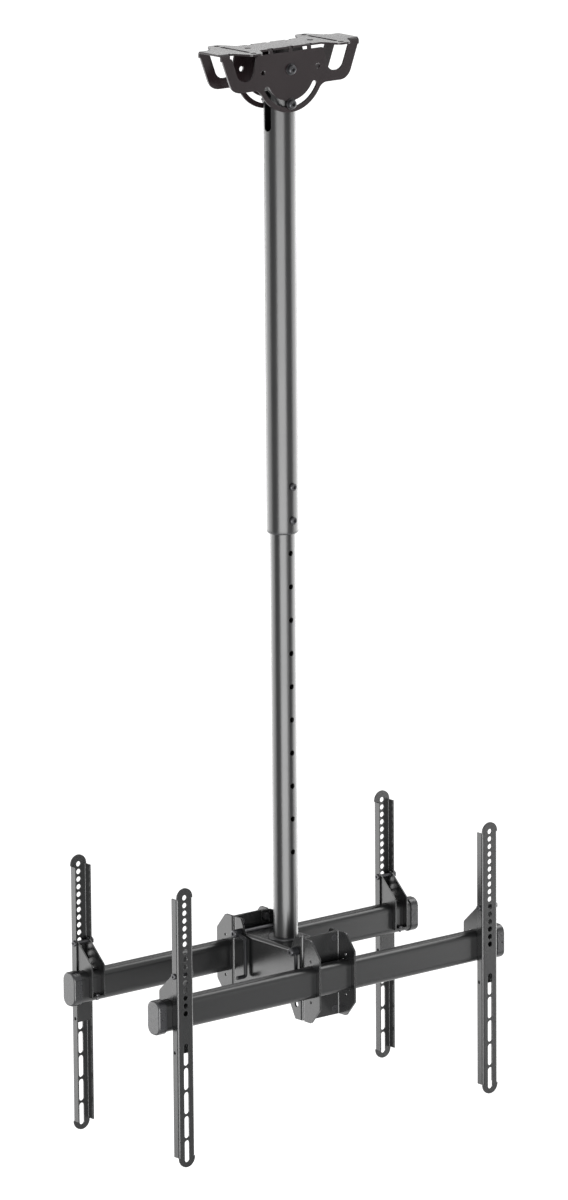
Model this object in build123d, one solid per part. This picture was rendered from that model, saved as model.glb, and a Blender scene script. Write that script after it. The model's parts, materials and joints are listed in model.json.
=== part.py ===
from build123d import *
import math
import os

# Ceiling mount for two displays hung back to back from a telescopic pole.
# Origin: centre of the ceiling plate's upper face. +Z up, the rails run along X,
# and the front display faces -Y. All sizes are in millimetres.

# Ceiling bracket, folded from one sheet
sheet = 3.0
bend_radius = 2.0
plate_length = 268.0
wing_width = 108.0
wing_tip_length = 20.0
wing_root_length = 50.0
wing_tip_radius = 8.0
anchor_x = 84.0
anchor_slot_length = 68.0
anchor_slot_width = 7.0
ear_hole_y = 44.0
ear_hole_radius = 4.5
wire_hole_x = 60.0
wire_hole_radius = 5.0
side_top_drop = 8.0
side_corner_radius = 4.0
fold_tab_width = 6.0
fold_tab_pitch = 37.0
fold_notch = 1.5
centre_web_width = 124.0
loop_top_length = 268.0
loop_bottom_length = 222.0
loop_depth = 61.0
loop_corner_radius = 22.0
loop_arm_width = 17.0
loop_opening_bottom = 26.0
loop_opening_depth = 45.0
loop_opening_radius = 15.5
neck_radius = 17.0

# Ceiling pivot
pivot_drop = 35.0
disc_radius = 65.0
lock_radius = 52.5
tilt_limit = 60.0
arc_slot_width = 9.6
plate_gap = 0.5
bolt_radius = 4.0
bolt_head_radius = 7.0
bolt_head_height = 5.0
washer_radius = 8.5
washer_thickness = 1.5
nut_height = 6.5

# Pole
outer_radius = 24.0
outer_wall = 2.5
outer_top_above_pivot = 17.0
outer_length = 726.0
inner_radius = 19.0
inner_wall = 2.5
inner_overlap = 121.0
running_fit = 0.1
seat_fit = 0.05
hole_pitch = 52.0
height_steps = 10
height_hole_radius = 4.2
lower_screw_up = 18.0
screw_radius = 3.5
screw_head_radius = 6.0
screw_head_height = 4.0
cable_slot_width = 16.0
cable_slot_length = 62.0
cable_slot_bottom = 130.0
bush_sleeve = 12.0
bush_lip = 4.0
ring_length = 18.0

# Centre box and its swivel
rail_z = -1428.0
box_width = 72.0
box_length = 168.0
box_height = 87.0
ear_height = 131.0
ear_flat = 18.0
ear_slope = 12.0
end_flange = 18.0
ear_bolt_inset = 15.0
ear_bolt_z = 42.0
ear_bolt_hole_radius = 4.4
corner_bolt_x = 25.0
corner_bolt_z = 56.0
corner_bolt_radius = 3.0
corner_head_radius = 5.4
corner_head_height = 2.0
rail_head_radius = 5.0
rail_head_height = 3.6
corner_nut_height = 5.0
corner_nut_flats = 10.0
rail_bolt_x = 10.0
collar_radius = 27.0
collar_height = 3.0
thrust_washer_radius = 29.0
thrust_washer_thickness = 2.0
foot_radius = 30.0
foot_thickness = 6.0

# Clamp levers on the left side of the box
lever_rod_radius = 3.0
lever_off_plate = 5.5
lever_hub_radius = 6.5
lever_hub_length = 9.0
lever_drop = 64.0
lever_fall = 5.0
lever_grip = 17.0
front_lever_step = -6.0
back_lever_step = -21.0
lever_bolt_radius = 4.0

# Rails and the holders that carry them
rail_standoff = 20.0
rail_depth = 27.0
rail_height = 48.0
rail_corner = 10.0
rail_wall = 2.0
rail_length = 652.0
rail_clearance = 0.3
holder_depth = 41.0
holder_chamfer_y = 21.0
holder_chamfer_z = 25.0
holder_hole_radius = 2.3
holder_hole_gap = 8.0
cap_depth = 30.0
cap_height = 53.0
cap_length = 15.0
cap_corner = 13.0
cap_edge = 2.5
cap_plug_length = 18.0
cap_plug_wall = 2.5
cap_dimple_radius = 1.6

# Display arms
arm_x = 300.0
arm_standoff = 27.0
arm_width = 30.0
arm_sheet = 2.0
arm_bend_radius = 1.0
arm_length = 435.0
arm_above_rail = 200.0
arm_flange_depth = 13.0
arm_flange_inset = 16.0
arm_hole_radius = 4.25
arm_hole_count = 16
arm_hole_pitch = 12.0
arm_hole_top = 14.6
arm_slot_count = 5
arm_slot_width = 9.0
arm_slot_length = 34.5
arm_slot_pitch = 37.8
arm_slot_top = 241.5
lock_hole_radius = 2.6
lock_hole_drop = 55.0

# Hangers that hook the arms over the rails
hanger_gap = 0.5
hanger_sheet = 2.0
hanger_pivot_up = 64.0
hanger_pivot_in = 8.5
hanger_nose_radius = 5.2
hanger_shoulder_up = 38.0
hanger_hook_width = 7.5
hanger_hook_end = 15.0
hanger_corner = 6.0
hanger_lower_end = 60.0
hanger_clearance = 0.4
pivot_bolt_radius = 3.0
pivot_head_radius = 4.6
pivot_head_height = 2.4
pivot_nut_height = 3.2
pivot_nut_flats = 10.0
clamp_screw_radius = 2.0
clamp_screw_head_radius = 3.6
clamp_screw_head_height = 2.4
clamp_screw_length = 7.0

# Places worked out from the sizes above
side_inner = outer_radius + plate_gap
side_outer = side_inner + sheet
fold_outer_radius = bend_radius + sheet
outer_top = -pivot_drop + outer_top_above_pivot
outer_bottom = outer_top - outer_length
outer_bore = outer_radius - outer_wall
lower_screw_z = outer_bottom + lower_screw_up
upper_screw_z = lower_screw_z + hole_pitch
inner_top = outer_bottom + inner_overlap
box_top = rail_z + box_height / 2
foot_top = box_top - sheet - thrust_washer_thickness
box_half = box_width / 2
box_end = box_length / 2
holder_front = box_end + holder_depth
rail_y = box_end + rail_standoff
arm_face_y = rail_y + arm_standoff
hanger_half = arm_width / 2 - arm_sheet - hanger_gap
pivot_y = arm_face_y - hanger_pivot_in
pivot_z = rail_z + hanger_pivot_up
sides = {"front": -1, "back": 1}
corners = [(side, end, s, e) for side, s in sides.items() for end, e in (("left", -1), ("right", 1))]


def channel_section(width, depth, thickness, radius):
    """U section with folded corners, its back along the top edge at 0."""
    outside = Pos(0, -depth / 2) * Rectangle(width, depth)
    outside = fillet(outside.vertices().group_by(Axis.Y)[-1], radius + thickness)
    inside = Pos(0, -thickness - depth / 2) * Rectangle(width - 2 * thickness, depth)
    inside = fillet(inside.vertices().group_by(Axis.Y)[-1], radius)
    return outside - inside


def hexagon_prism(across_flats, height):
    return extrude(RegularPolygon(across_flats / 2, 6, major_radius=False), height)


def socket_screw(radius, length, head_radius, head_height):
    """Button head with a hexagon socket: the head rises from 0, the shank runs down."""
    head = Pos(0, 0, head_height / 2) * Cylinder(head_radius, head_height)
    head = fillet(head.edges().group_by(Axis.Z)[-1], head_height * 0.5)
    shank = Pos(0, 0, -length / 2) * Cylinder(radius, length)
    socket = Pos(0, 0, head_height * 0.4) * hexagon_prism(head_radius * 0.8, head_height)
    return head + shank - socket


def flush_screw(radius, length, head_radius, head_height):
    """Countersunk screw: its flat head ends at 0 and the shank runs down."""
    head = Pos(0, 0, -head_height / 2) * Cone(radius, head_radius, head_height)
    shank = Pos(0, 0, -length / 2) * Cylinder(radius, length)
    socket = hexagon_prism(radius, 2 * head_height)
    return head + shank - Pos(0, 0, -0.6 * head_height) * socket


def hex_nut(bore, across_flats, height):
    """Nut that stands from 0 upwards."""
    return hexagon_prism(across_flats, height) - Pos(0, 0, height / 2) * Cylinder(bore, height)


def washer(bore, radius, thickness):
    """Flat ring that stands from 0 upwards."""
    return Pos(0, 0, thickness / 2) * (Cylinder(radius, thickness) - Cylinder(bore, thickness))


def facing_front(x, y, z):
    """Place whose upward direction points to -Y."""
    return Pos(x, y, z) * Rot(90, 0, 0)


def facing_back(x, y, z):
    """Place whose upward direction points to +Y."""
    return Pos(x, y, z) * Rot(-90, 0, 0)


def facing_left(x, y, z):
    """Place whose upward direction points to -X."""
    return Pos(x, y, z) * Rot(0, -90, 0)


def facing_right(x, y, z):
    """Place whose upward direction points to +X."""
    return Pos(x, y, z) * Rot(0, 90, 0)


def bar_along_y(x, z, radius, reach):
    return Pos(x, 0, z) * Rot(90, 0, 0) * Cylinder(radius, 2 * reach)


def bar_along_x(y, z, radius, reach):
    return Pos(0, y, z) * Rot(0, 90, 0) * Cylinder(radius, 2 * reach)


def ceiling_plate():
    """Flat top of the bracket: a centre strip with a tapered wing at each end."""
    outline = Rectangle(plate_length, 2 * side_outer)
    for side in (-1, 1):
        tip, root = wing_tip_length / 2, wing_root_length / 2
        wing = Pos(side * anchor_x, 0) * Polygon(
            (-root, -side_outer), (-tip, -wing_width / 2), (tip, -wing_width / 2), (root, -side_outer),
            (root, side_outer), (tip, wing_width / 2), (-tip, wing_width / 2), (-root, side_outer),
            align=None)
        ends = wing.vertices().group_by(Axis.Y)
        outline += fillet(ends[0] + ends[-1], wing_tip_radius)
        slot = SlotOverall(anchor_slot_length, anchor_slot_width, rotation=90)
        outline -= Pos(side * anchor_x, 0) * slot
        outline -= Pos(side * wire_hole_x, 0) * Circle(wire_hole_radius)
        for end in (-1, 1):
            outline -= Pos(side * anchor_x, end * ear_hole_y) * Circle(ear_hole_radius)
    notch_depth = fold_outer_radius
    for x in fold_tabs():
        for side in (-1, 1):
            notch = Rectangle(fold_tab_width + 2 * fold_notch, 2 * notch_depth)
            outline -= Pos(x, side * side_outer) * notch
    for side in (-1, 1):
        for end in (-1, 1):
            notch = Rectangle(loop_arm_width + 2 * fold_notch, 2 * notch_depth)
            outline -= Pos(end * loop_arm_x(), side * side_outer) * notch
    return extrude(outline, -sheet)


def fold_tabs():
    return [n * fold_tab_pitch for n in (-1, 0, 1)]


def loop_arm_x():
    return (loop_top_length - loop_arm_width) / 2 - fold_notch


def disc_neck():
    """Fills the corners where the disc runs into the loops, round a circle that touches both."""
    down = loop_depth + neck_radius - pivot_drop
    across = math.sqrt((disc_radius + neck_radius) ** 2 - down ** 2)
    low = pivot_drop + down * disc_radius / (disc_radius + neck_radius)
    neck = Pos(0, -(loop_depth + low) / 2) * Rectangle(2 * across, low - loop_depth)
    for side in (-1, 1):
        neck -= Pos(side * across, -pivot_drop - down) * Circle(neck_radius)
    return neck


def side_outline():
    """Side plate: a half disc for the tilt, with a U-shaped loop out to each end of the plate."""
    loops = Polygon((-loop_top_length / 2, 0), (loop_top_length / 2, 0),
                    (loop_bottom_length / 2, -loop_depth), (-loop_bottom_length / 2, -loop_depth), align=None)
    loops = fillet(loops.vertices().group_by(Axis.Y)[0], loop_corner_radius)
    outline = loops + Pos(0, -pivot_drop) * Circle(disc_radius)
    outline += disc_neck()
    for end in (-1, 1):
        inner, outer = centre_web_width / 2, loop_top_length / 2 - loop_arm_width - fold_notch
        slant = (loop_top_length - loop_bottom_length) / 2 / loop_depth * loop_opening_depth
        opening = Polygon((end * inner, 0), (end * outer, 0), (end * (outer - slant), -loop_opening_depth),
                          (end * (outer - slant - loop_opening_bottom), -loop_opening_depth), align=None)
        outline -= fillet(opening.vertices().group_by(Axis.Y)[0], loop_opening_radius)
        outline -= Pos(end * lock_radius, -pivot_drop) * Circle(bolt_radius + running_fit)
    outline -= Pos(0, -side_top_drop / 2) * Rectangle(2 * loop_top_length, side_top_drop)
    top_corners = [v for v in outline.vertices() if abs(v.Y + side_top_drop) < 0.01 and abs(v.X) < anchor_x]
    outline = fillet(top_corners, side_corner_radius)
    for x in fold_tabs():
        outline += Pos(x, -side_top_drop / 2) * Rectangle(fold_tab_width, side_top_drop + 2 * bend_radius)
    for end in (-1, 1):
        arm = Rectangle(loop_arm_width, side_top_drop + 2 * bend_radius)
        outline += Pos(end * loop_arm_x(), -side_top_drop / 2) * arm
    travel_arc = CenterArc((0, -pivot_drop), lock_radius, 270 - tilt_limit, 2 * tilt_limit)
    outline -= SlotArc(travel_arc, arc_slot_width)
    outline -= Pos(0, -pivot_drop) * Circle(bolt_radius + seat_fit)
    return outline


def ceiling_bracket():
    depth = pivot_drop + disc_radius
    folded = extrude(Plane.YZ * channel_section(2 * side_outer, depth, sheet, bend_radius),
                     plate_length / 2, both=True)
    folded = folded & extrude(Plane.XZ * side_outline(), side_outer, both=True)
    return folded + ceiling_plate()


def tilt_bolt(z):
    """Bolt across both side plates, its head at the front."""
    length = 2 * side_outer + 2 * washer_thickness + nut_height
    place = facing_front(0, -side_outer - washer_thickness, z)
    return place * socket_screw(bolt_radius, length, bolt_head_radius, bolt_head_height)


def tilt_nut(z):
    place = facing_back(0, side_outer + washer_thickness, z)
    return place * hex_nut(bolt_radius, 1.7 * bolt_head_radius, nut_height)


def tilt_washers(z, clearance):
    thickness = washer_thickness - clearance
    ring = washer(bolt_radius + seat_fit, washer_radius, thickness)
    front = facing_front(0, -side_outer - clearance, z) * ring
    back = facing_back(0, side_outer + clearance, z) * ring
    return [front, back]


def outer_tube():
    middle = (outer_top + outer_bottom) / 2
    tube = Pos(0, 0, middle) * (Cylinder(outer_radius, outer_length) - Cylinder(outer_bore, outer_length))
    tube -= bar_along_y(0, -pivot_drop, bolt_radius + running_fit, outer_radius)
    tube -= bar_along_y(0, -pivot_drop - lock_radius, bolt_radius + seat_fit, outer_radius)
    for z in (lower_screw_z, upper_screw_z):
        tube -= bar_along_y(0, z, screw_radius + seat_fit, outer_radius)
    slot = Plane.YZ * SlotOverall(cable_slot_length, cable_slot_width, rotation=90)
    slot_z = -cable_slot_bottom + cable_slot_length / 2
    return tube - Pos(-outer_radius, 0, slot_z) * extrude(slot, outer_wall * 3, both=True)


def guide_bush():
    """Nylon bush in the mouth of the outer tube, with a rounded lip under it."""
    sleeve = Pos(0, 0, outer_bottom + bush_sleeve / 2) * Cylinder(outer_bore - seat_fit, bush_sleeve)
    lip = Pos(0, 0, outer_bottom - bush_lip / 2) * Cylinder(outer_radius, bush_lip)
    lip = fillet(lip.edges().group_by(Axis.Z)[0], bush_lip * 0.7)
    bore = Pos(0, 0, outer_bottom) * Cylinder(inner_radius + running_fit, 4 * bush_sleeve)
    return sleeve + lip - bore


def height_screws():
    """Four screws that fix the pole's length, turned back so that their tips stay in the wall."""
    screw = socket_screw(screw_radius, outer_wall + 1, screw_head_radius, screw_head_height)
    screws = []
    for z in (lower_screw_z, upper_screw_z):
        screws.append(facing_front(0, -outer_radius - 1, z) * screw)
        screws.append(facing_back(0, outer_radius + 1, z) * screw)
    keep_out = Pos(0, 0, (lower_screw_z + upper_screw_z) / 2) * Cylinder(outer_bore, 2 * hole_pitch)
    return [screw - keep_out for screw in screws]


def inner_tube():
    length = inner_top - foot_top
    tube = Pos(0, 0, inner_top - length / 2) * (Cylinder(inner_radius, length)
                                                - Cylinder(inner_radius - inner_wall, length))
    for step in range(height_steps + 2):
        tube -= bar_along_y(0, upper_screw_z - step * hole_pitch, height_hole_radius, inner_radius)
    return tube


def slide_ring():
    """Nylon cap over the inner tube's top end, which keeps it central in the outer tube."""
    body = Cylinder(outer_bore - running_fit, ring_length)
    body = Pos(0, 0, inner_top + outer_wall - ring_length / 2) * body
    body = chamfer(body.edges().group_by(Axis.Z)[-1], 1)
    seat = Pos(0, 0, inner_top - ring_length / 2) * Cylinder(inner_radius + seat_fit, ring_length)
    bore = Pos(0, 0, inner_top) * Cylinder(inner_radius - inner_wall, 2 * ring_length)
    return body - seat - bore


def pole_foot():
    """Disc welded under the inner tube, on which the box hangs and turns."""
    disc = Pos(0, 0, foot_top - foot_thickness / 2) * Cylinder(foot_radius, foot_thickness)
    disc = chamfer(disc.edges().group_by(Axis.Z)[0], 1)
    return disc - Pos(0, 0, foot_top) * Cylinder(inner_radius - 2 * inner_wall, 4 * foot_thickness)


def thrust_washer():
    ring = washer(inner_radius + running_fit, thrust_washer_radius, thrust_washer_thickness)
    return Pos(0, 0, foot_top) * ring


def swivel_collar():
    ring = Pos(0, 0, box_top + collar_height / 2) * Cylinder(collar_radius, collar_height)
    ring = fillet(ring.edges().group_by(Axis.Z)[-1], 2)
    return ring - Pos(0, 0, box_top) * Cylinder(inner_radius + running_fit, 4 * collar_height)


def box_outline():
    """Side of the box: low in the middle, with ears the height of the rail holders at both ends."""
    top, ear = box_height / 2, ear_height / 2
    foot = box_end - ear_flat - ear_slope
    upper = [(box_end, ear), (box_end - ear_flat, ear), (foot, top - fold_outer_radius)]
    lower = [(box_end, -ear), (box_end - ear_flat, -ear), (foot, -top)]
    points = upper + [(-y, z) for y, z in reversed(upper)] + [(-y, z) for y, z in lower] + lower[::-1]
    return Polygon(*points, align=None)


def centre_box():
    """Folded box: two sides whose ends turn inwards, joined by the top that the pole stands in."""
    side = channel_section(box_length, end_flange, sheet, bend_radius)
    left = Pos(-box_half, 0, rail_z) * extrude(Rot(0, 0, 90) * side, ear_height / 2, both=True)
    walls = left + mirror(left, Plane.YZ)
    walls = walls & Pos(0, 0, rail_z) * extrude(Plane.YZ * box_outline(), box_half, both=True)
    top_length = box_length - 2 * (ear_flat + ear_slope)
    top = channel_section(box_width, box_height / 2, sheet, bend_radius)
    box = walls + Pos(0, 0, box_top) * extrude(Plane.XZ * top, top_length / 2, both=True)
    box -= Pos(0, 0, box_top) * Cylinder(inner_radius + running_fit, 4 * sheet)
    for y in (-box_end + ear_bolt_inset, box_end - ear_bolt_inset):
        for z in (rail_z - ear_bolt_z, rail_z + ear_bolt_z):
            box -= bar_along_x(y, z, ear_bolt_hole_radius, box_width)
    for x, z in corner_bolts():
        box -= bar_along_y(x, z, corner_bolt_radius + seat_fit, box_length)
    return box


def corner_bolts():
    return [(x, rail_z + z) for x in (-corner_bolt_x, corner_bolt_x) for z in (-corner_bolt_z, corner_bolt_z)]


def holder_outline():
    """Flange of a rail holder, measured outwards from the box, with both outer corners cut off."""
    half = ear_height / 2
    cut = holder_depth - holder_chamfer_y
    high = half - holder_chamfer_z
    shape = Polygon((0, -half), (cut, -half), (holder_depth, -high), (holder_depth, high),
                    (cut, half), (0, half), align=None)
    shape = fillet([v for v in shape.vertices() if v.X > 1], hanger_corner)
    rail_in = rail_y - box_end
    shape -= Pos(rail_in, 0) * rail_opening(rail_clearance)
    for z in (-1, 1):
        shape -= Pos(rail_in, z * (rail_height / 2 + holder_hole_gap)) * Circle(holder_hole_radius)
    return shape


def rail_opening(clearance):
    return RectangleRounded(rail_depth + 2 * clearance, rail_height + 2 * clearance, rail_corner + clearance)


def back_holder():
    """U bracket bolted to the end of the box, whose flanges the rail passes through."""
    section = Rot(0, 0, 180) * channel_section(box_width, holder_depth, sheet, bend_radius)
    folded = extrude(section, ear_height / 2, both=True)
    folded = folded & extrude(Plane.YZ * holder_outline(), box_half, both=True)
    folded = Pos(0, box_end, rail_z) * folded
    sink = Cone(corner_bolt_radius + seat_fit, corner_head_radius + seat_fit, corner_head_height)
    sink = Pos(0, 0, -corner_head_height / 2) * sink
    for x, z in corner_bolts():
        folded -= facing_back(x, 0, z) * Cylinder(corner_bolt_radius + seat_fit, 2 * holder_front)
        folded -= facing_back(x, box_end + sheet, z) * sink
    for x in (-rail_bolt_x, rail_bolt_x):
        folded -= facing_back(x, 0, rail_z) * Cylinder(corner_bolt_radius + seat_fit, 2 * holder_front)
    return folded


def back_corner_bolts():
    length = 2 * sheet + corner_nut_height
    bolt = flush_screw(corner_bolt_radius, length, corner_head_radius, corner_head_height)
    return [facing_back(x, box_end + sheet, z) * bolt for x, z in corner_bolts()]


def back_corner_nuts():
    nut = hex_nut(corner_bolt_radius, corner_nut_flats, corner_nut_height)
    return [facing_front(x, box_end - sheet, z) * nut for x, z in corner_bolts()]


def back_rail():
    profile = rail_opening(0) - RectangleRounded(rail_depth - 2 * rail_wall, rail_height - 2 * rail_wall,
                                                 rail_corner - rail_wall)
    tube = Pos(0, rail_y, rail_z) * extrude(Plane.YZ * profile, rail_length / 2, both=True)
    for x in (-rail_bolt_x, rail_bolt_x):
        hole = Cylinder(corner_bolt_radius + seat_fit, 3 * rail_wall)
        tube -= facing_back(x, rail_y - rail_depth / 2, rail_z) * hole
    return tube


def back_rail_bolts():
    """Bolts from inside the box, through the holder's web, into the rail's wall."""
    reach = rail_y - rail_depth / 2 + rail_wall - box_end
    bolt = socket_screw(corner_bolt_radius, reach, rail_head_radius, rail_head_height)
    return [facing_front(x, box_end, rail_z) * bolt for x in (-rail_bolt_x, rail_bolt_x)]


def back_right_cap():
    """Moulded cap: a rounded block against the rail's end, with a hollow plug inside the rail."""
    cap = extrude(RectangleRounded(cap_depth, cap_height, cap_corner), cap_length)
    cap = fillet(cap.edges().group_by(Axis.Z)[-1], cap_edge)
    plug_depth = rail_depth - 2 * rail_wall - 2 * seat_fit
    plug_height = rail_height - 2 * rail_wall - 2 * seat_fit
    plug = RectangleRounded(plug_depth, plug_height, rail_corner - rail_wall - seat_fit)
    plug -= RectangleRounded(plug_depth - 2 * cap_plug_wall, plug_height - 2 * cap_plug_wall,
                             rail_corner - rail_wall - cap_plug_wall)
    cap += extrude(plug, -cap_plug_length)
    dimple = Cylinder(cap_dimple_radius, 2 * cap_dimple_radius)
    cap -= Pos(cap_depth / 2, 0, cap_length * 0.6) * Rot(0, 90, 0) * dimple
    return Pos(rail_length / 2, rail_y, rail_z) * (Plane.YZ.location * cap)


def back_arm():
    """Channel that a display is screwed to: round holes above, a row of slots below."""
    top = rail_z + arm_above_rail
    middle = top - arm_length / 2
    straight = arm_length - 2 * arm_flange_inset
    channel = channel_section(arm_width, arm_flange_depth, arm_sheet, arm_bend_radius)
    arm = extrude(channel, straight / 2, both=True)
    face = extrude(Plane.XZ * SlotOverall(arm_length, arm_width, rotation=90), arm_sheet)
    arm += face - Box(2 * arm_width, 2 * arm_width, straight)
    arm = Pos(0, arm_face_y, middle) * arm
    cutter = Rot(90, 0, 0) * Cylinder(arm_hole_radius, 3 * arm_sheet)
    for n in range(arm_hole_count):
        arm -= Pos(0, arm_face_y, top - arm_hole_top - n * arm_hole_pitch) * cutter
    slot = Plane.XZ * SlotOverall(arm_slot_length, arm_slot_width, rotation=90)
    slot = extrude(slot, 2 * arm_sheet, both=True)
    for n in range(arm_slot_count):
        z = top - arm_slot_top - arm_slot_length / 2 - n * arm_slot_pitch
        arm -= Pos(0, arm_face_y, z) * slot
    arm -= bar_along_x(pivot_y, pivot_z, pivot_bolt_radius + running_fit, arm_width)
    return arm - bar_along_x(pivot_y, rail_z - lock_hole_drop, lock_hole_radius, arm_width)


def hanger_outline():
    """Side of a hanger: pivot nose, hook over the rail and lower leg, measured from the rail's axis."""
    nose_y = pivot_y - rail_y
    front = nose_y + hanger_nose_radius
    back = -rail_depth / 2 - hanger_clearance - hanger_hook_width
    nose = Pos(nose_y, hanger_pivot_up) * Circle(hanger_nose_radius)
    shoulder = Pos(back + hanger_corner, hanger_shoulder_up - hanger_corner) * Circle(hanger_corner)
    base = Pos((front + back) / 2, 0) * Rectangle(front - back, 2 * hanger_hook_end)
    shape = make_hull(nose.edges() + shoulder.edges() + base.edges())
    leg_back = rail_depth / 2 + hanger_clearance
    leg = Pos((front + leg_back) / 2, -hanger_lower_end / 2) * Rectangle(front - leg_back, hanger_lower_end)
    shape += leg
    shape -= rail_opening(hanger_clearance)
    below = rail_depth / 2 + hanger_clearance
    shape -= Pos(0, -hanger_lower_end / 2) * Rectangle(2 * below, hanger_lower_end)
    shape -= Pos(nose_y, hanger_pivot_up) * Circle(pivot_bolt_radius + seat_fit)
    return shape - Pos(nose_y, -lock_hole_drop) * Circle(lock_hole_radius)


def back_hanger():
    """Folded hanger: two side plates, a web under the rail and a tab across the tip of the hook."""
    outline = extrude(Plane.YZ * hanger_outline(), hanger_half, both=True)
    hollow = Box(2 * (hanger_half - hanger_sheet), 4 * arm_face_y, 4 * arm_length)
    hanger = outline - hollow
    leg_back = rail_depth / 2 + hanger_clearance
    web_top = -rail_height / 2 - hanger_clearance
    web_height = hanger_lower_end + web_top
    web = Pos(0, leg_back + hanger_sheet / 2, web_top - web_height / 2)
    hanger += web * Box(2 * hanger_half, hanger_sheet, web_height)
    hook_back = -leg_back - hanger_hook_width
    tab = Pos(0, hook_back + hanger_hook_width / 2, -hanger_hook_end + hanger_sheet / 2)
    hanger += tab * Box(2 * hanger_half, hanger_hook_width, hanger_sheet)
    hanger -= Pos(0, hook_back + hanger_hook_width / 2, -hanger_hook_end) * Cylinder(
        clamp_screw_radius + seat_fit, 4 * hanger_sheet)
    return Pos(0, rail_y, rail_z) * hanger


def back_clamp_screw():
    """Upright screw in the tab, which draws the tip of the hook together behind the rail."""
    screw = socket_screw(clamp_screw_radius, clamp_screw_length,
                         clamp_screw_head_radius, clamp_screw_head_height)
    hook_middle = rail_y - rail_depth / 2 - hanger_clearance - hanger_hook_width / 2
    return Pos(0, hook_middle, rail_z - hanger_hook_end + hanger_sheet) * screw


def arm_pivot_bolt():
    length = arm_width + pivot_nut_height
    bolt = socket_screw(pivot_bolt_radius, length, pivot_head_radius, pivot_head_height)
    return facing_left(-arm_width / 2 - running_fit, pivot_y, pivot_z) * bolt


def arm_pivot_nut():
    nut = hex_nut(pivot_bolt_radius, pivot_nut_flats, pivot_nut_height)
    return facing_right(arm_width / 2 + running_fit, pivot_y, pivot_z) * nut


def lever_pivot_y(side):
    return side * (box_end - ear_bolt_inset)


def lever(side, step):
    """Cranked rod with a hub round its bolt and a grip turned outwards at the lower end."""
    x = -box_half - lever_off_plate
    y, z = lever_pivot_y(side), rail_z + ear_bolt_z
    elbow = z - lever_fall
    path = FilletPolyline((x, y, z), (x, y + step, elbow), (x, y + step, z - lever_drop),
                          (x - lever_grip, y + step, z - lever_drop), radius=1.4 * lever_rod_radius)
    rod = sweep(Plane(origin=path @ 0, z_dir=path % 0) * Circle(lever_rod_radius), path)
    hub = Pos(0, 0, lever_hub_length / 2) * Cylinder(lever_hub_radius, lever_hub_length)
    hub = facing_left(-box_half - running_fit, y, z) * hub
    return rod + hub - bar_along_x(y, z, lever_bolt_radius + running_fit, 2 * box_width)


def lever_bolts():
    """Bolts through the box's upper ears, on which the levers turn."""
    head_x = -box_half - lever_hub_length - 2 * running_fit
    length = -head_x + box_half + nut_height
    bolt = socket_screw(lever_bolt_radius, length, 1.6 * lever_bolt_radius, lever_bolt_radius)
    return [facing_left(head_x, lever_pivot_y(side), rail_z + ear_bolt_z) * bolt for side in (-1, 1)]


def lever_nuts():
    nut = hex_nut(lever_bolt_radius, 3.2 * lever_bolt_radius, nut_height)
    return [facing_right(box_half, lever_pivot_y(side), rail_z + ear_bolt_z) * nut for side in (-1, 1)]


def front_of(piece):
    """The same piece on the other display's side."""
    if isinstance(piece, list):
        return [front_of(one) for one in piece]
    return mirror(piece, Plane.XZ)


def save(name, *pieces):
    solids = [solid for piece in pieces for solid in piece.solids()]
    shape = solids[0] if len(solids) == 1 else Compound(children=solids)
    export_step(shape, os.path.join("parts", name + ".step"))


def save_ceiling():
    save("ceiling_bracket", ceiling_bracket())
    save("tilt_pivot_bolt", tilt_bolt(-pivot_drop))
    save("tilt_pivot_nut", tilt_nut(-pivot_drop))
    save("tilt_pivot_washers", *tilt_washers(-pivot_drop, 0))


def save_pole():
    lock_z = -pivot_drop - lock_radius
    save("outer_tube", outer_tube())
    save("tilt_lock_bolt", tilt_bolt(lock_z))
    save("tilt_lock_nut", tilt_nut(lock_z))
    save("tilt_lock_washers", *tilt_washers(lock_z, running_fit))
    save("guide_bush", guide_bush())
    save("height_screws", *height_screws())
    save("inner_tube", inner_tube())
    save("slide_ring", slide_ring())
    save("pole_foot", pole_foot())
    save("thrust_washer", thrust_washer())


def save_centre():
    save("centre_box", centre_box())
    save("swivel_collar", swivel_collar())
    save("lever_bolts", *lever_bolts())
    save("lever_nuts", *lever_nuts())
    save("front_lever", lever(-1, front_lever_step))
    save("back_lever", lever(1, back_lever_step))
    pieces = {"holder": [back_holder()], "holder_bolts": back_corner_bolts(),
              "holder_nuts": back_corner_nuts(), "rail": [back_rail()], "rail_bolts": back_rail_bolts()}
    for name, back in pieces.items():
        save("back_" + name, *back)
        save("front_" + name, *front_of(back))
    cap = back_right_cap()
    for side, end, s, e in corners:
        placed = cap if e > 0 else mirror(cap, Plane.YZ)
        save(f"{side}_{end}_cap", placed if s > 0 else front_of(placed))


def save_arms():
    pieces = {"hanger": back_hanger(), "clamp_screw": back_clamp_screw(), "pivot_bolt": arm_pivot_bolt(),
              "pivot_nut": arm_pivot_nut(), "arm": back_arm()}
    for side, end, s, e in corners:
        for name, back in pieces.items():
            save(f"{side}_{end}_{name}", Pos(e * arm_x, 0, 0) * (back if s > 0 else front_of(back)))


def main():
    os.makedirs("parts", exist_ok=True)
    save_ceiling()
    save_pole()
    save_centre()
    save_arms()


main()
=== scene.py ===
import json
import math

import bpy
from mathutils import Matrix, Vector


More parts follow.
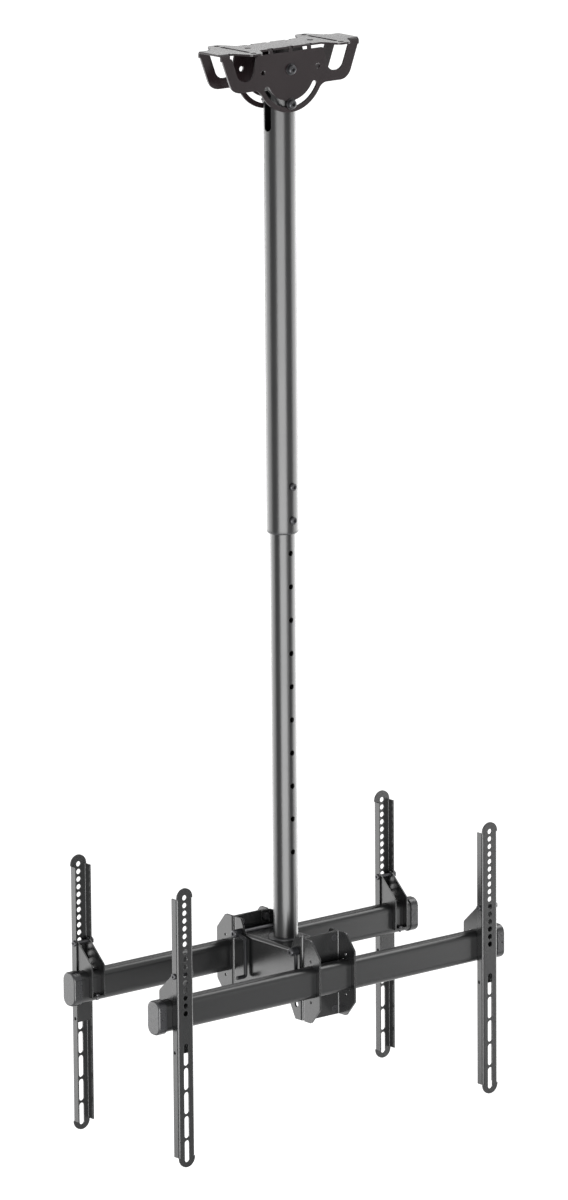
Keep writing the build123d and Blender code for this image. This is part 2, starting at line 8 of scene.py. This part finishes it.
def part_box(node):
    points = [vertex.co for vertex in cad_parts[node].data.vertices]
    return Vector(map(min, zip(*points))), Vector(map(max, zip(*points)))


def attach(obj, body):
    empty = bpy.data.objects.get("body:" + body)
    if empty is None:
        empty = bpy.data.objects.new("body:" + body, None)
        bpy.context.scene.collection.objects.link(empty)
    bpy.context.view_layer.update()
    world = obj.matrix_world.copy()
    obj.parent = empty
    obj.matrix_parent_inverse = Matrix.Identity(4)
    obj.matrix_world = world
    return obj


bl_info = {
    "name": "Ceiling mount look",
    "version": (1, 0, 0),
    "blender": (4, 5, 0),
    "location": "3D View > Sidebar > Mount",
    "description": "Dresses the ceiling mount with painted metal, moulded plastic and threaded bolt ends",
    "category": "Object",
}

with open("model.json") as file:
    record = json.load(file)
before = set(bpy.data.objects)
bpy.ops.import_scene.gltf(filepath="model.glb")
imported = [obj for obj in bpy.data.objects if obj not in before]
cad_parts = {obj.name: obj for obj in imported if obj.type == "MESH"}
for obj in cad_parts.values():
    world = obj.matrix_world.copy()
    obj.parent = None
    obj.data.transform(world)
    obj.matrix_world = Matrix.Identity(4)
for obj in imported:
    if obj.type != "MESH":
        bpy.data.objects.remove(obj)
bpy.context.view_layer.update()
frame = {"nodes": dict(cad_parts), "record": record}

PAINTED_TUBES = ("outer_tube", "inner_tube")
PAINTED_SHEETS = ("centre_box", "front_holder", "back_holder", "pole_foot")
RAILS = ("front_rail", "back_rail")
LEVERS = ("front_lever", "back_lever")
PLASTICS = ("guide_bush", "slide_ring", "thrust_washer", "swivel_collar")
CORNERS = ("front_left", "front_right", "back_left", "back_right")

AXIS_X, AXIS_Y = 0, 1
WHITE = (1.0, 1.0, 1.0, 1.0)
BLACK = (0.0, 0.0, 0.0, 1.0)


# Nodes

class NodeMaker:
    """Adds nodes and their links to a node tree."""

    def __init__(self, tree):
        self.tree = tree

    def add(self, kind, inputs=None, **settings):
        """A node whose inputs take plain values or another node's output."""
        made = self.tree.nodes.new(kind)
        for key, value in settings.items():
            setattr(made, key, value)
        for key, value in (inputs or {}).items():
            self.put(made.inputs[key], value)
        return made

    def put(self, socket, value):
        """Links an output to the socket, or sets the socket's plain value."""
        if isinstance(value, bpy.types.NodeSocket):
            self.tree.links.new(value, socket)
        else:
            socket.default_value = value

    def maths(self, operation, first, second):
        return self.add("ShaderNodeMath", {0: first, 1: second}, operation=operation).outputs["Value"]


# Materials

class Shader(NodeMaker):
    """A new material's nodes, with short ways to vary its surface."""

    def __init__(self, name):
        self.material = bpy.data.materials.new(name)
        self.material.use_nodes = True
        super().__init__(self.material.node_tree)
        self.surface = self.tree.nodes["Principled BSDF"]
        self.place = self.add("ShaderNodeTexCoord").outputs["Object"]

    def stretched(self, scale):
        """Object coordinates, denser along the axes with a larger scale."""
        return self.add("ShaderNodeMapping", {"Vector": self.place, "Scale": scale}).outputs["Vector"]

    def noise(self, vector, density, detail=3.0):
        """Cloudy noise with so many waves for each metre."""
        made = self.add("ShaderNodeTexNoise", {"Vector": vector, "Scale": density, "Detail": detail})
        return made.outputs["Fac"]

    def ramp(self, factor, low, high):
        """Turns a factor into the range from low to high."""
        mapped = self.add("ShaderNodeMapRange", {"Value": factor, "To Min": low, "To Max": high})
        return mapped.outputs["Result"]

    def around(self, factor, middle, below, above):
        """Turns a factor into values a little below and above the middle one."""
        return self.ramp(factor, middle - below, middle + above)

    def tones(self, factor, colour, darkest, lightest):
        """Turns a factor into tones of the colour, from its darkest to its lightest multiple."""
        mix = self.add("ShaderNodeMix", {"Factor": factor}, data_type="RGBA")
        mix.inputs["A"].default_value = (*lighter(colour, darkest), 1.0)
        mix.inputs["B"].default_value = (*lighter(colour, lightest), 1.0)
        return mix.outputs["Result"]

    def rounded(self, radius, height, strength, depth):
        """Normals with softly rounded edges and a fine grain on top."""
        edge = self.add("ShaderNodeBevel", {"Radius": radius}, samples=4)
        bump = self.add("ShaderNodeBump", {"Height": height, "Strength": strength, "Distance": depth,
                                           "Normal": edge.outputs["Normal"]})
        return bump.outputs["Normal"]

    def feed(self, **sockets):
        """Sets the surface's sockets: an underscore in the key stands for a space."""
        for key, value in sockets.items():
            self.put(self.surface.inputs[key.replace("_", " ")], value)


def lighter(colour, factor):
    return tuple(min(1.0, channel * factor) for channel in colour)


def powder_coat(name, colour, roughness, look):
    """Satin powder coat on folded sheet: orange-peel grain, uneven gloss and softened edges."""
    shader = Shader(name)
    cloud = shader.noise(shader.place, density=14.0)
    peel = shader.noise(shader.place, look.peel_density, detail=2.0)
    speck = shader.noise(shader.place, density=2600.0, detail=1.0)
    grain = shader.maths("ADD", peel, shader.ramp(speck, low=0.0, high=0.35))
    shader.feed(Base_Color=shader.tones(cloud, colour, darkest=0.86, lightest=1.16),
                Roughness=shader.around(cloud, roughness, below=0.035, above=0.045),
                Specular_IOR_Level=look.gloss,
                Normal=shader.rounded(look.edge_radius, grain, look.peel_strength, depth=0.0004))
    return shader.material


def lined_grain(shader, look, lines, share):
    """Normals of orange peel over the long lines that drawing or rolling left in the metal."""
    thinner_peel = look.peel_strength * 0.6
    peel = shader.noise(shader.place, look.peel_density, detail=2.0)
    height = shader.maths("ADD", peel, shader.ramp(lines, low=0.0, high=share))
    return shader.rounded(look.edge_radius, height, thinner_peel, depth=0.0003)


def drawn_tube_paint(name, colour, roughness, gloss, look):
    """Paint over a drawn tube: long faint lines along Z under the orange peel."""
    shader = Shader(name)
    cloud = shader.noise(shader.place, density=9.0)
    lines = shader.noise(shader.stretched((1.0, 1.0, 0.012)), density=420.0, detail=2.0)
    shader.feed(Base_Color=shader.tones(cloud, colour, darkest=0.88, lightest=1.14),
                Roughness=shader.around(cloud, roughness, below=0.03, above=0.04),
                Specular_IOR_Level=gloss,
                Normal=lined_grain(shader, look, lines, share=0.5))
    return shader.material


def rail_paint(name, colour, roughness, look):
    """Paint over a roll-formed rail: faint rolling lines along X."""
    shader = Shader(name)
    cloud = shader.noise(shader.place, density=8.0)
    lines = shader.noise(shader.stretched((0.01, 1.0, 1.0)), density=480.0, detail=2.0)
    shader.feed(Base_Color=shader.tones(cloud, colour, darkest=0.9, lightest=1.12),
                Roughness=shader.around(lines, roughness, below=0.03, above=0.04),
                Specular_IOR_Level=look.gloss,
                Normal=lined_grain(shader, look, lines, share=0.4))
    return shader.material


def black_steel(name, colour, roughness):
    """Blackened steel of bolts, nuts and washers, with small bright scuffs."""
    shader = Shader(name)
    scuff = shader.noise(shader.place, density=900.0, detail=4.0)
    cloud = shader.noise(shader.place, density=160.0, detail=2.0)
    spots = shader.add("ShaderNodeMapRange", {"Value": scuff, "From Min": 0.62, "From Max": 0.8})
    shader.feed(Base_Color=shader.tones(spots.outputs["Result"], colour, darkest=1.0, lightest=2.4),
                Metallic=0.75,
                Roughness=shader.around(cloud, roughness, below=0.06, above=0.08),
                Normal=shader.rounded(radius=0.0005, height=scuff, strength=0.12, depth=0.0002))
    return shader.material


def moulded_plastic(name, colour, roughness, grain_density, gloss=0.5):
    """Moulded plastic with a fine spark-eroded grain."""
    shader = Shader(name)
    cells = shader.add("ShaderNodeTexVoronoi", {"Vector": shader.place, "Scale": grain_density})
    cloud = shader.noise(shader.place, density=30.0, detail=2.0)
    shader.feed(Base_Color=shader.tones(cloud, colour, darkest=0.88, lightest=1.15),
                Roughness=shader.around(cloud, roughness, below=0.03, above=0.05),
                Specular_IOR_Level=gloss,
                Normal=shader.rounded(radius=0.0008, height=cells.outputs["Distance"], strength=0.18,
                                      depth=0.0003))
    return shader.material


def dress(node, material):
    """Gives every material slot of a frame node the same finish."""
    piece = frame["nodes"][node]
    for slot in piece.material_slots:
        slot.material = material


# Threads on the bolt ends

LARGE_BOLT_RADIUS = 0.004
SMALL_BOLT_RADIUS = 0.003
STUB_SIDES = 24
TIP_RADIUS = 0.72
TIP_LENGTH = 0.14
STEPS_IN_A_TURN = 20
CREST_SIDES = 4


def thread_tree():
    """Node tree that stands a threaded stub on every point, turned along the point's facing attribute."""
    tree = bpy.data.node_groups.new("Threaded ends", "GeometryNodeTree")
    tree.interface.new_socket("Geometry", in_out="INPUT", socket_type="NodeSocketGeometry")
    for name in ("Length", "Pitch", "Depth"):
        tree.interface.new_socket(name, in_out="INPUT", socket_type="NodeSocketFloat")
    tree.interface.new_socket("Finish", in_out="INPUT", socket_type="NodeSocketMaterial")
    tree.interface.new_socket("Geometry", in_out="OUTPUT", socket_type="NodeSocketGeometry")

    nodes = NodeMaker(tree)
    asked = nodes.add("NodeGroupInput").outputs
    root_radius = nodes.maths("SUBTRACT", 1.0, asked["Depth"])
    half = nodes.maths("MULTIPLY", asked["Length"], 0.5)
    lift = nodes.add("ShaderNodeCombineXYZ", {"Z": half}).outputs["Vector"]
    core = nodes.add("GeometryNodeMeshCylinder", {"Vertices": STUB_SIDES, "Radius": root_radius,
                                                  "Depth": asked["Length"]})
    core = nodes.add("GeometryNodeTransform", {"Geometry": core.outputs["Mesh"], "Translation": lift})
    tip_lift = nodes.add("ShaderNodeCombineXYZ", {"Z": asked["Length"]}).outputs["Vector"]
    tip = nodes.add("GeometryNodeMeshCone", {"Vertices": STUB_SIDES, "Radius Top": TIP_RADIUS,
                                             "Radius Bottom": root_radius, "Depth": TIP_LENGTH})
    tip = nodes.add("GeometryNodeTransform", {"Geometry": tip.outputs["Mesh"], "Translation": tip_lift})
    turns = nodes.maths("DIVIDE", asked["Length"], asked["Pitch"])
    helix = nodes.add("GeometryNodeCurveSpiral", {
        "Resolution": STEPS_IN_A_TURN, "Rotations": turns, "Start Radius": root_radius,
        "End Radius": root_radius, "Height": asked["Length"]})
    crest = nodes.add("GeometryNodeCurvePrimitiveCircle", {"Resolution": CREST_SIDES,
                                                           "Radius": asked["Depth"]})
    ridge = nodes.add("GeometryNodeCurveToMesh", {"Curve": helix.outputs["Curve"],
                                                  "Profile Curve": crest.outputs["Curve"], "Fill Caps": True})
    stub = nodes.add("GeometryNodeJoinGeometry")
    for part in (core.outputs["Geometry"], tip.outputs["Geometry"], ridge.outputs["Mesh"]):
        tree.links.new(part, stub.inputs["Geometry"])

    facing = nodes.add("GeometryNodeInputNamedAttribute", {"Name": "facing"}, data_type="FLOAT_VECTOR")
    radius = nodes.add("GeometryNodeInputNamedAttribute", {"Name": "thread_radius"}, data_type="FLOAT")
    turned = nodes.add("FunctionNodeAlignRotationToVector", {"Vector": facing.outputs["Attribute"]}, axis="Z")
    placed = nodes.add("GeometryNodeInstanceOnPoints", {
        "Points": asked["Geometry"], "Instance": stub.outputs["Geometry"],
        "Rotation": turned.outputs["Rotation"], "Scale": radius.outputs["Attribute"]})
    solid = nodes.add("GeometryNodeRealizeInstances", {"Geometry": placed.outputs["Instances"]})
    finished = nodes.add("GeometryNodeSetMaterial", {"Geometry": solid.outputs["Geometry"],
                                                     "Material": asked["Finish"]})
    nodes.add("NodeGroupOutput", {"Geometry": finished.outputs["Geometry"]})
    return tree


def nut_face(nut, axis):
    """Point at the centre of a nut's face on the axis's positive side, and the direction that it looks to."""
    low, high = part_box(nut)
    place = (low + high) / 2
    place[axis] = high[axis]
    direction = Vector((0.0, 0.0, 0.0))
    direction[axis] = 1.0
    return place, direction


def thread_point(name, place, direction, radius):
    """Object of one loose point that carries the direction and the radius of a bolt end."""
    mesh = bpy.data.meshes.new(name)
    mesh.from_pydata([place], [], [])
    mesh.attributes.new("facing", "FLOAT_VECTOR", "POINT")
    mesh.attributes.new("thread_radius", "FLOAT", "POINT")
    mesh.attributes["facing"].data[0].vector = direction
    mesh.attributes["thread_radius"].data[0].value = radius
    piece = bpy.data.objects.new(name, mesh)
    bpy.context.collection.objects.link(piece)
    return piece


def threaded_end(name, body, nut, axis, radius, tree, finish, fixings):
    """Threaded end that stands out of a nut, as a plain mesh that rides on the nut's body."""
    place, direction = nut_face(nut, axis)
    piece = thread_point(name, place, direction, radius)
    modifier = piece.modifiers.new("Threads", "NODES")
    modifier.node_group = tree
    wanted = {"Length": fixings.stub_length, "Pitch": fixings.thread_pitch, "Depth": fixings.thread_depth,
              "Finish": finish}
    for socket in tree.interface.items_tree:
        if socket.in_out == "INPUT" and socket.name in wanted:
            modifier[socket.identifier] = wanted[socket.name]
    evaluated = piece.evaluated_get(bpy.context.evaluated_depsgraph_get())
    mesh = bpy.data.meshes.new_from_object(evaluated)
    piece.modifiers.remove(modifier)
    piece.data = mesh
    for polygon in mesh.polygons:
        polygon.use_smooth = False
    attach(piece, body)


# Settings

class MountPaint(bpy.types.PropertyGroup):
    paint: bpy.props.FloatVectorProperty(
        name="Paint", description="Colour of the painted tubes, rails and sheets", subtype="COLOR",
        default=(0.0062, 0.0064, 0.0066), min=0.0, max=1.0)
    bracket: bpy.props.FloatVectorProperty(
        name="Bracket paint", description="Warmer black of the ceiling bracket", subtype="COLOR",
        default=(0.0110, 0.0074, 0.0082), min=0.0, max=1.0)
    steel: bpy.props.FloatVectorProperty(
        name="Fastener steel", description="Colour of bolts, nuts and washers", subtype="COLOR",
        default=(0.045, 0.045, 0.048), min=0.0, max=1.0)
    plastic: bpy.props.FloatVectorProperty(
        name="Plastic", description="Colour of the caps, bushes, collar and lever coating", subtype="COLOR",
        default=(0.0085, 0.0088, 0.0100), min=0.0, max=1.0)
    satin: bpy.props.FloatProperty(
        name="Satin roughness", description="Roughness of the paint", subtype="FACTOR",
        default=0.26, min=0.05, max=0.9)
    gloss: bpy.props.FloatProperty(
        name="Gloss level", description="Specular level of the paint", subtype="FACTOR",
        default=0.46, min=0.0, max=1.0)
    pole_gloss: bpy.props.FloatProperty(
        name="Pole gloss level", description="Specular level of the paint on the pole", subtype="FACTOR",
        default=0.54, min=0.0, max=1.0)
    peel_density: bpy.props.FloatProperty(
        name="Orange peel density", description="Waves of the paint's grain for each metre",
        default=620.0, min=50.0, max=3000.0)
    peel_strength: bpy.props.FloatProperty(
        name="Orange peel strength", description="How strongly the paint's grain shows", subtype="FACTOR",
        default=0.10, min=0.0, max=1.0)
    edge_radius: bpy.props.FloatProperty(
        name="Edge radius", description="Rounding that paint gives to a sheet's edge", subtype="DISTANCE",
        unit="LENGTH", default=0.0006, min=0.0, max=0.003)


class MountFixings(bpy.types.PropertyGroup):
    stub_length: bpy.props.FloatProperty(
        name="Stub length", description="How far a bolt stands out of its nut, in bolt radii",
        default=0.6, min=0.1, max=3.0)
    thread_pitch: bpy.props.FloatProperty(
        name="Thread pitch", description="Distance between threads, in bolt radii",
        default=0.3, min=0.1, max=1.0)
    thread_depth: bpy.props.FloatProperty(
        name="Thread depth", description="Height of the thread's ridge, in bolt radii",
        default=0.12, min=0.01, max=0.3)


class MountStage(bpy.types.PropertyGroup):
    camera_place: bpy.props.FloatVectorProperty(
        name="Camera place", description="Where the photographer stood", subtype="TRANSLATION", unit="LENGTH",
        default=(-7.375, -9.130, 1.857))
    camera_yaw: bpy.props.FloatProperty(
        name="Camera yaw", description="Turn of the view about the vertical", subtype="ANGLE",
        unit="ROTATION", default=math.radians(-38.936))
    camera_pitch: bpy.props.FloatProperty(
        name="Camera pitch", description="How far the view looks down", subtype="ANGLE", unit="ROTATION",
        default=math.radians(13.005))
    camera_roll: bpy.props.FloatProperty(
        name="Camera roll", description="Turn of the picture about the line of sight", subtype="ANGLE",
        unit="ROTATION", default=math.radians(-0.445))
    focal_pixels: bpy.props.FloatProperty(
        name="Focal length", description="Focal length in pixels of the full picture", default=7924.0)
    picture_height: bpy.props.FloatProperty(
        name="Picture height", description="Height of the full picture in pixels", default=1200.0)
    floor_height: bpy.props.FloatProperty(
        name="Floor height", description="Height of the floor under the ceiling", subtype="DISTANCE",
        unit="LENGTH", default=-3.2)


SETTINGS = {"mount_paint": MountPaint, "mount_fixings": MountFixings, "mount_stage": MountStage}


# Operators for the object

class MOUNT_OT_ceiling_bracket(bpy.types.Operator):
    """Paint the folded ceiling bracket"""
    bl_idname = "mount.ceiling_bracket"
    bl_label = "Ceiling bracket"

    def execute(self, context):
        look = context.scene.mount_paint
        smoother = look.satin - 0.08
        dress("ceiling_bracket", powder_coat("Bracket paint", look.bracket, smoother, look))
        return {"FINISHED"}


class MOUNT_OT_pole(bpy.types.Operator):
    """Paint the two tubes of the pole"""
    bl_idname = "mount.pole"
    bl_label = "Pole"

    def execute(self, context):
        look = context.scene.mount_paint
        rougher = look.satin + 0.04
        paint = drawn_tube_paint("Pole paint", look.paint, rougher, look.pole_gloss, look)
        for node in PAINTED_TUBES:
            dress(node, paint)
        return {"FINISHED"}


class MOUNT_OT_centre_box(bpy.types.Operator):
    """Paint the centre box, the rail holders and the foot of the pole, and coat the clamp levers"""
    bl_idname = "mount.centre_box"
    bl_label = "Centre box"

    def execute(self, context):
        look = context.scene.mount_paint
        smoother = look.satin - 0.04
        paint = powder_coat("Box paint", look.paint, smoother, look)
        for node in PAINTED_SHEETS:
            dress(node, paint)
        coating = moulded_plastic("Lever coating", look.plastic, roughness=0.45, grain_density=1300.0,
                                  gloss=0.2)
        for node in LEVERS:
            dress(node, coating)
        return {"FINISHED"}


class MOUNT_OT_rails(bpy.types.Operator):
    """Paint the rails and finish their moulded end caps"""
    bl_idname = "mount.rails"
    bl_label = "Rails and caps"

    def execute(self, context):
        look = context.scene.mount_paint
        rougher = look.satin + 0.03
        paint = rail_paint("Rail paint", look.paint, rougher, look)
        for node in RAILS:
            dress(node, paint)
        cap = moulded_plastic("Cap plastic", look.plastic, roughness=0.26, grain_density=1500.0)
        for corner in CORNERS:
            dress(f"{corner}_cap", cap)
        return {"FINISHED"}


class MOUNT_OT_arms(bpy.types.Operator):
    """Paint the display arms and the hangers that hook them over the rails; the hangers get painted shade"""
    bl_idname = "mount.arms"
    bl_label = "Arms and hangers"

    def execute(self, context):
        look = context.scene.mount_paint
        # The hangers take the arms' paint a fifth darker: painted shade for the hangers inside the arms'
        # channels.
        shaded_hanger_colour = lighter(look.paint, 0.8)
        rougher = look.satin + 0.02
        arm = powder_coat("Arm paint", look.paint, look.satin, look)
        hanger = powder_coat("Hanger paint in painted shade", shaded_hanger_colour, rougher, look)
        for corner in CORNERS:
            dress(f"{corner}_arm", arm)
            dress(f"{corner}_hanger", hanger)
        return {"FINISHED"}


class MOUNT_OT_plastics(bpy.types.Operator):
    """Finish the nylon bushes, the thrust washer and the swivel collar"""
    bl_idname = "mount.plastics"
    bl_label = "Bushes and collar"

    def execute(self, context):
        look = context.scene.mount_paint
        nylon = moulded_plastic("Nylon", look.plastic, roughness=0.38, grain_density=1100.0)
        for node in PLASTICS:
            dress(node, nylon)
        return {"FINISHED"}


class MOUNT_OT_fasteners(bpy.types.Operator):
    """Blacken the bolts, nuts and washers and add the threaded ends that stand out of the nuts"""
    bl_idname = "mount.fasteners"
    bl_label = "Fasteners"

    def execute(self, context):
        look = context.scene.mount_paint
        fixings = context.scene.mount_fixings
        steel = black_steel("Blackened steel", look.steel, roughness=0.34)
        for part in frame["record"]["subparts"]:
            if part["material_slot"] == "fasteners":
                dress(part["node"], steel)
        tree = thread_tree()
        for name, body, nut in (("pivot_thread", "ceiling", "tilt_pivot_nut"),
                                ("lock_thread", "outer_pole", "tilt_lock_nut")):
            threaded_end(name, body, nut, AXIS_Y, LARGE_BOLT_RADIUS, tree, steel, fixings)
        for corner in CORNERS:
            threaded_end(f"{corner}_pivot_thread", f"{corner}_hanger", f"{corner}_pivot_nut", AXIS_X,
                         SMALL_BOLT_RADIUS, tree, steel, fixings)
        return {"FINISHED"}


# Stage

class MOUNT_OT_stage(bpy.types.Operator):
    """Set the pale floor, the white surroundings, the lamps and the camera"""
    bl_idname = "mount.stage"
    bl_label = "Stage"

    def execute(self, context):
        stage = context.scene.mount_stage
        make_floor(stage)
        make_world(context.scene)
        make_lamps(stage)
        make_camera(context.scene, stage)
        context.scene.view_settings.view_transform = "Standard"
        return {"FINISHED"}


def flat_sheet(name, corners):
    """Object of one flat face with four corners."""
    mesh = bpy.data.meshes.new(name)
    mesh.from_pydata(corners, [], [(0, 1, 2, 3)])
    sheet = bpy.data.objects.new(name, mesh)
    bpy.context.collection.objects.link(sheet)
    return sheet


def make_floor(stage):
    """Floor that is pale in the light and nearly white to the camera."""
    reach, height = 30.0, stage.floor_height
    grey, glow_in_gloss, glow_in_view = 0.62, 0.25, 0.85
    floor = flat_sheet("floor", [(-reach, -reach, height), (reach, -reach, height),
                                 (reach, reach, height), (-reach, reach, height)])
    shader = Shader("Pale floor")
    path = shader.add("ShaderNodeLightPath").outputs
    in_gloss = shader.maths("MULTIPLY", path["Is Glossy Ray"], glow_in_gloss)
    in_view = shader.maths("MULTIPLY", path["Is Camera Ray"], glow_in_view)
    shader.feed(Base_Color=(grey, grey, grey, 1.0), Roughness=0.8, Emission_Color=WHITE,
                Emission_Strength=shader.maths("ADD", in_gloss, in_view))
    floor.data.materials.append(shader.material)


def make_world(scene):
    """White behind the object and in its gloss, a softer grey for the light that it scatters."""
    world = bpy.data.worlds.new("Studio")
    world.use_nodes = True
    world.node_tree.nodes.clear()
    nodes = NodeMaker(world.node_tree)
    path = nodes.add("ShaderNodeLightPath").outputs
    seen = nodes.maths("MAXIMUM", path["Is Camera Ray"], path["Is Glossy Ray"])
    through = nodes.maths("MAXIMUM", seen, path["Is Transmission Ray"])
    scattered = nodes.add("ShaderNodeBackground", {"Color": WHITE, "Strength": 0.45})
    white = nodes.add("ShaderNodeBackground", {"Color": WHITE, "Strength": 1.0})
    mix = nodes.add("ShaderNodeMixShader", {"Fac": through, 1: scattered.outputs["Background"],
                                            2: white.outputs["Background"]})
    nodes.add("ShaderNodeOutputWorld", {"Surface": mix.outputs["Shader"]})
    scene.world = world


def area_lamp(name, bearing, distance, height, width, tall, radiance):
    """Soft box at a bearing from the pole that looks at the pole and has this radiance at its face."""
    aim = Vector((0.0, 0.0, -0.95))
    energy_for_radiance = 4.0
    lamp = bpy.data.lights.new(name, "AREA")
    lamp.shape = "RECTANGLE"
    lamp.size = width
    lamp.size_y = tall
    lamp.energy = energy_for_radiance * radiance * width * tall
    box = bpy.data.objects.new(name, lamp)
    bpy.context.collection.objects.link(box)
    place = Vector((math.cos(bearing) * distance, math.sin(bearing) * distance, height))
    look = (aim - place).to_track_quat("-Z", "Y")
    box.matrix_world = Matrix.Translation(place) @ look.to_matrix().to_4x4()
    box.visible_camera = False


def make_lamps(stage):
    """Soft boxes round the mount, with their bearings counted from the camera's."""
    camera = math.atan2(stage.camera_place[1], stage.camera_place[0])
    low_box = {"distance": 3.2, "height": -1.62, "tall": 2.1}
    area_lamp("front softbox", camera + math.radians(3), width=3.7, radiance=7.9, **low_box)
    area_lamp("left softbox", camera - math.radians(118), width=4.6, radiance=2.95, **low_box)
    area_lamp("right softbox", camera + math.radians(121), width=4.6, radiance=3.6, **low_box)
    area_lamp("high softbox", camera + math.radians(125), distance=2.4, height=1.3, width=1.8, tall=1.5,
              radiance=3.6)
    area_lamp("far softbox", camera + math.radians(180), distance=8.0, height=1.75, width=5.4, tall=1.7,
              radiance=0.4)
    black_card(camera + math.radians(180), distance=6.0, low=-0.75, high=0.72, half_width=2.0)


def black_card(bearing, distance, low, high, half_width):
    """Card far behind the object, seen only in its gloss, that keeps the tops of box and rails dark."""
    card = flat_sheet("black card", [(distance, -half_width, low), (distance, half_width, low),
                                     (distance, half_width, high), (distance, -half_width, high)])
    card.data.transform(Matrix.Rotation(bearing, 4, "Z"))
    shader = Shader("Black card")
    shader.feed(Base_Color=BLACK, Roughness=1.0, Specular_IOR_Level=0.0)
    card.data.materials.append(shader.material)
    card.visible_camera = card.visible_diffuse = card.visible_shadow = False


def make_camera(scene, stage):
    """Camera where the photographer stood, turned by the stage's yaw, pitch and roll."""
    sensor_height, far_limit = 24.0, 100.0
    yaw, pitch, roll = stage.camera_yaw, stage.camera_pitch, stage.camera_roll
    right = Vector((math.cos(yaw), math.sin(yaw), 0.0))
    back = Vector((math.sin(yaw) * math.cos(pitch), -math.cos(yaw) * math.cos(pitch), math.sin(pitch)))
    up = back.cross(right)
    across = right * math.cos(roll) + up * math.sin(roll)
    upright = up * math.cos(roll) - right * math.sin(roll)
    turn = Matrix((across, upright, back)).transposed().to_4x4()
    view = bpy.data.cameras.new("Camera")
    view.sensor_fit = "VERTICAL"
    view.sensor_height = sensor_height
    view.lens = stage.focal_pixels / stage.picture_height * sensor_height
    view.clip_end = far_limit
    camera = bpy.data.objects.new("Camera", view)
    bpy.context.collection.objects.link(camera)
    camera.matrix_world = Matrix.Translation(stage.camera_place) @ turn
    scene.camera = camera


# Panel and registration

OPERATORS = (MOUNT_OT_ceiling_bracket, MOUNT_OT_pole, MOUNT_OT_centre_box, MOUNT_OT_rails, MOUNT_OT_arms,
             MOUNT_OT_plastics, MOUNT_OT_fasteners, MOUNT_OT_stage)


class MOUNT_PT_look(bpy.types.Panel):
    """Sidebar panel with the mount's colours, settings and steps"""
    bl_idname = "MOUNT_PT_look"
    bl_label = "Ceiling mount"
    bl_space_type = "VIEW_3D"
    bl_region_type = "UI"
    bl_category = "Mount"

    def draw(self, context):
        column = self.layout.column()
        for name, group in SETTINGS.items():
            settings = getattr(context.scene, name)
            for key in group.__annotations__:
                column.prop(settings, key)
        for operator in OPERATORS:
            column.operator(operator.bl_idname)


CLASSES = (*SETTINGS.values(), *OPERATORS, MOUNT_PT_look)


def register():
    for cls in CLASSES:
        bpy.utils.register_class(cls)
    for name, group in SETTINGS.items():
        setattr(bpy.types.Scene, name, bpy.props.PointerProperty(type=group))


def unregister():
    for name in SETTINGS:
        delattr(bpy.types.Scene, name)
    for cls in reversed(CLASSES):
        bpy.utils.unregister_class(cls)


def main():
    register()
    bpy.ops.mount.ceiling_bracket()
    bpy.ops.mount.pole()
    bpy.ops.mount.centre_box()
    bpy.ops.mount.rails()
    bpy.ops.mount.arms()
    bpy.ops.mount.plastics()
    bpy.ops.mount.fasteners()
    bpy.ops.mount.stage()


if __name__ == "__main__":
    main()
